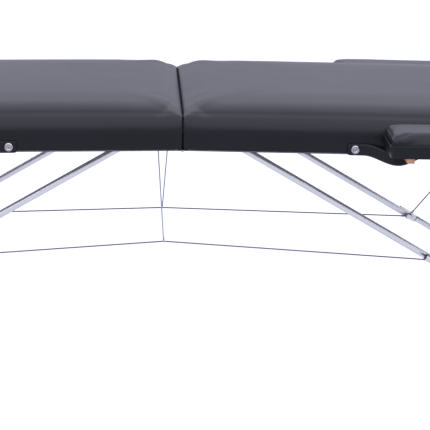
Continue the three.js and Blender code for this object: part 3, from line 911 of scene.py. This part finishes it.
def makeCables(row):
    y = rows[row] * table["cableY"]
    apex = Vector((table["apex"][row][0], y, underside + table["apex"][row][1]))
    for side in sides:
        bolt = place(side, knuckle.x, y, knuckle.z)
        anchor = place(side, table["stayX"], y, 0.038)
        lift = place(side, 0, 0, 1) - place(side, 0, 0, 0)
        for kind, far in (("tie", apex), ("stay", anchor)):
            eye = bolt - Vector((0, 0, table["eyeHang"][row])) if kind == "tie" else bolt
            way = (far - eye).normalized()
            offset = Vector((0, 0.0022 if kind == "tie" else -0.0022, 0)) * rows[row]
            parts = [twisted(eye + way * 0.0075 + offset, far - way * 0.0015, rope["radius"],
                             "wire", rope["lay"])]
            parts += eyeAndCrimp(eye + offset, way)
            if kind == "stay":
                parts.append(roundBar(far - way * 0.016, far - way * 0.004, 0.0026, edge=0.0007, sides_=20,
                                      finish="cup"))
            whole = joined(parts)
            piece = finishPiece(whole, f"{side}_{row}_{kind}_wire", None, f"{side}_section", "wire",
                                f"{side}_{row}_{kind}_cable")
            anchor = place(side, rope["foldX"], y, rope["foldZ"])
            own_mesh(piece)
    top = place("left", -table["dropTop"][row][0], y, table["dropTop"][row][1])
    cord = twisted(top, apex, rope["cordRadius"], "cord", 9 * mm)
    deselectAll()
    bpy.ops.mesh.primitive_torus_add(major_radius=0.0022, minor_radius=0.0009, major_segments=24,
                                     minor_segments=10,
                                     location=apex, rotation=(0, math.pi / 2, 0))
    loop = bpy.context.active_object
    applyPlace(loop)
    smooth(loop, 180)
    paint(loop, "cord")
    knot = roundBar(apex + Vector((0, 0, 0.003)), apex + Vector((0, 0, 0.0085)), 0.0021,
                    edge=0.0009, sides_=16,
                    finish="cord")
    whole = joined([cord, loop, knot])
    piece = finishPiece(whole, f"{row}_drop_line", None, "left_section", "cord", f"{row}_drop_cord")
    lift = place("left", 0, 0, 1) - place("left", 0, 0, 0)
    anchor = place("left", rope["cordFoldX"], y, rope["foldZ"])
    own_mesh(piece)


for row in rows:
    makeCables(row)
print("cables made")

arm = {"start": 432 * mm, "length": 360 * mm, "inner": -306 * mm, "width": 120 * mm,
       "rods": (495 * mm, 695 * mm),
       "rodZ": 31 * mm, "bottom": 24 * mm, "top": 74 * mm}
armPad = {
    "low": (arm["start"], arm["inner"] - arm["width"], arm["bottom"]),
    "high": (arm["start"] + arm["length"], arm["inner"], arm["top"]),
    "cornerRadius": 11 * mm, "sideRoll": (21 * mm, 20 * mm), "endRoll": (15 * mm, 18 * mm),
    "voxel": 5 * mm, "pressure": 4.0, "cap": 2.5 * mm, "tackedTo": 34 * mm, "crown": 2 * mm, "bulge": 0,
    "wall": 8 * mm, "lip": 8 * mm, "lipThickness": 0.5 * mm, "lining": 23.6 * mm,
    "creases": [
        ((434 * mm, -424 * mm, 46 * mm), (454 * mm, -406 * mm, 77 * mm), 4 * mm, 2.6 * mm),
        ((434 * mm, -309 * mm, 46 * mm), (452 * mm, -324 * mm, 77 * mm), 4 * mm, 2.2 * mm),
        ((790 * mm, -424 * mm, 46 * mm), (770 * mm, -406 * mm, 77 * mm), 4 * mm, 2.4 * mm),
        ((790 * mm, -309 * mm, 46 * mm), (772 * mm, -324 * mm, 77 * mm), 4 * mm, 2.2 * mm),
    ],
}


def halfTurn():
    middle = sum(arm["rods"]) / 2
    halfTurn = Matrix.Rotation(math.pi, 4, "Z")
    return Matrix.Translation((middle, 0, 0)) @ halfTurn @ Matrix.Translation((-middle, 0, 0))


def welt(soft, z, inset, radius):
    low, high = soft["low"], soft["high"]
    x0, x1, y0, y1 = low[0] + inset, high[0] - inset, low[1] + inset, high[1] - inset
    r = soft["cornerRadius"]
    points = []
    for cx, cy, start in ((x1 - r, y0 + r, -90), (x1 - r, y1 - r, 0), (x0 + r, y1 - r, 90),
                          (x0 + r, y0 + r, 180)):
        for i in range(7):
            a = math.radians(start + i * 15)
            points.append((cx + r * math.cos(a), cy + r * math.sin(a), z))
    curve = bpy.data.curves.new("welt", "CURVE")
    curve.dimensions = "3D"
    spline = curve.splines.new("POLY")
    spline.points.add(len(points) - 1)
    for point, co in zip(spline.points, points):
        point.co = (*co, 1)
    spline.use_cyclic_u = True
    curve.bevel_depth, curve.bevel_resolution = radius, 3
    piece = bpy.data.objects.new("welt", curve)
    bpy.context.scene.collection.objects.link(piece)
    pick(piece)
    bpy.ops.object.convert(target="MESH")
    piece = bpy.context.active_object
    smooth(piece, 180)
    return paint(piece, "armVinyl")


def makeArmrests():
    block = paint(softBlock(armPad), "armVinyl")
    pad = joined([block, welt(armPad, 50 * mm, -0.4 * mm, 1.3 * mm)])
    prongs = []
    bend = arm["inner"] - arm["width"] + 35 * mm
    for x in arm["rods"]:
        prongs.append(roundBar((x, bend, arm["rodZ"]), (x, -0.2, arm["rodZ"]), 0.0049, edge=0.0012,
                               finish="bolt"))
    prongs.append(roundBar((arm["rods"][0] - 0.004, bend, arm["rodZ"]),
                           (arm["rods"][1] + 0.004, bend, arm["rodZ"]),
                           0.0049, edge=0.0012, finish="bolt"))
    rods = joined(prongs)
    for row in rows:
        turn = Matrix.Identity(4) if row == "near" else halfTurn()
        for source, name, nodes, slot in ((pad, "armrest_cushion", ["armrest_pad"], "armrest_vinyl"),
                                          (rods, "armrest_rods", ["armrest_prongs"], "steel_tube")):
            piece = source.copy()
            piece.data = source.data.copy()
            bpy.context.scene.collection.objects.link(piece)
            piece.data.transform(turn)
            inSection("right", piece)
            finishPiece(piece, f"{row}_{name}", None, f"{row}_armrest", slot,
                        *[f"{row}_{n}" for n in nodes])
            name == "armrest_cushion"
    for source in (pad, rods):
        bpy.data.objects.remove(source)
    print("armrests made")


makeArmrests()

# the frame's own pieces that still show keep their shape and get their finish
for name, node in frame["nodes"].items():
    if node.hide_render:
        continue
    for key, finish in (("rail_frame", "railWood"), ("deck", "deckPly"), ("armrest_board", "blockWood"),
                        ("bracket", "zinc"), ("hinge", "zinc")):
        if key in name:
            paint(node, finish)

studio = {"floor": 40.0, "world": 1.04, "worldColour": (0.985, 0.99, 1.2),
          "floorColour": 0.08, "floorGlow": 0.95}


def makeStudio():
    deselectAll()
    bpy.ops.mesh.primitive_plane_add(size=studio["floor"], location=(0, 0, -0.0005))
    floor = bpy.context.active_object
    floor.name = "floor"
    f = Finish("pale floor", Roughness=0.9, Specular_IOR_Level=0.1)
    f.shader.inputs["Base Color"].default_value = (studio["floorColour"],) * 3 + (1,)
    f.shader.inputs["Emission Color"].default_value = (*studio["worldColour"], 1)
    f.shader.inputs["Emission Strength"].default_value = studio["floorGlow"]
    floor.data.materials.append(f.material)
    world = bpy.data.worlds.new("studio")
    world.use_nodes = True
    world.node_tree.nodes["Background"].inputs[0].default_value = (*studio["worldColour"], 1)
    world.node_tree.nodes["Background"].inputs[1].default_value = studio["world"]
    bpy.context.scene.world = world
    for name, spot, aim, size, power, colour in (
        ("overhead softbox", (0, -0.3, 3.4), (0, -0.3, 0), 9.0, 470, (1, 1, 1.15)),
    ):
        data = bpy.data.lights.new(name, "AREA")
        data.size, data.energy, data.color = size, power, colour
        lamp = bpy.data.objects.new(name, data)
        bpy.context.scene.collection.objects.link(lamp)
        way = (Vector(aim) - Vector(spot)).to_track_quat("-Z", "Y")
        lamp.matrix_world = Matrix.Translation(spot) @ way.to_matrix().to_4x4()
    bpy.context.scene.view_settings.view_transform = "Standard"


makeStudio()
deselectAll()
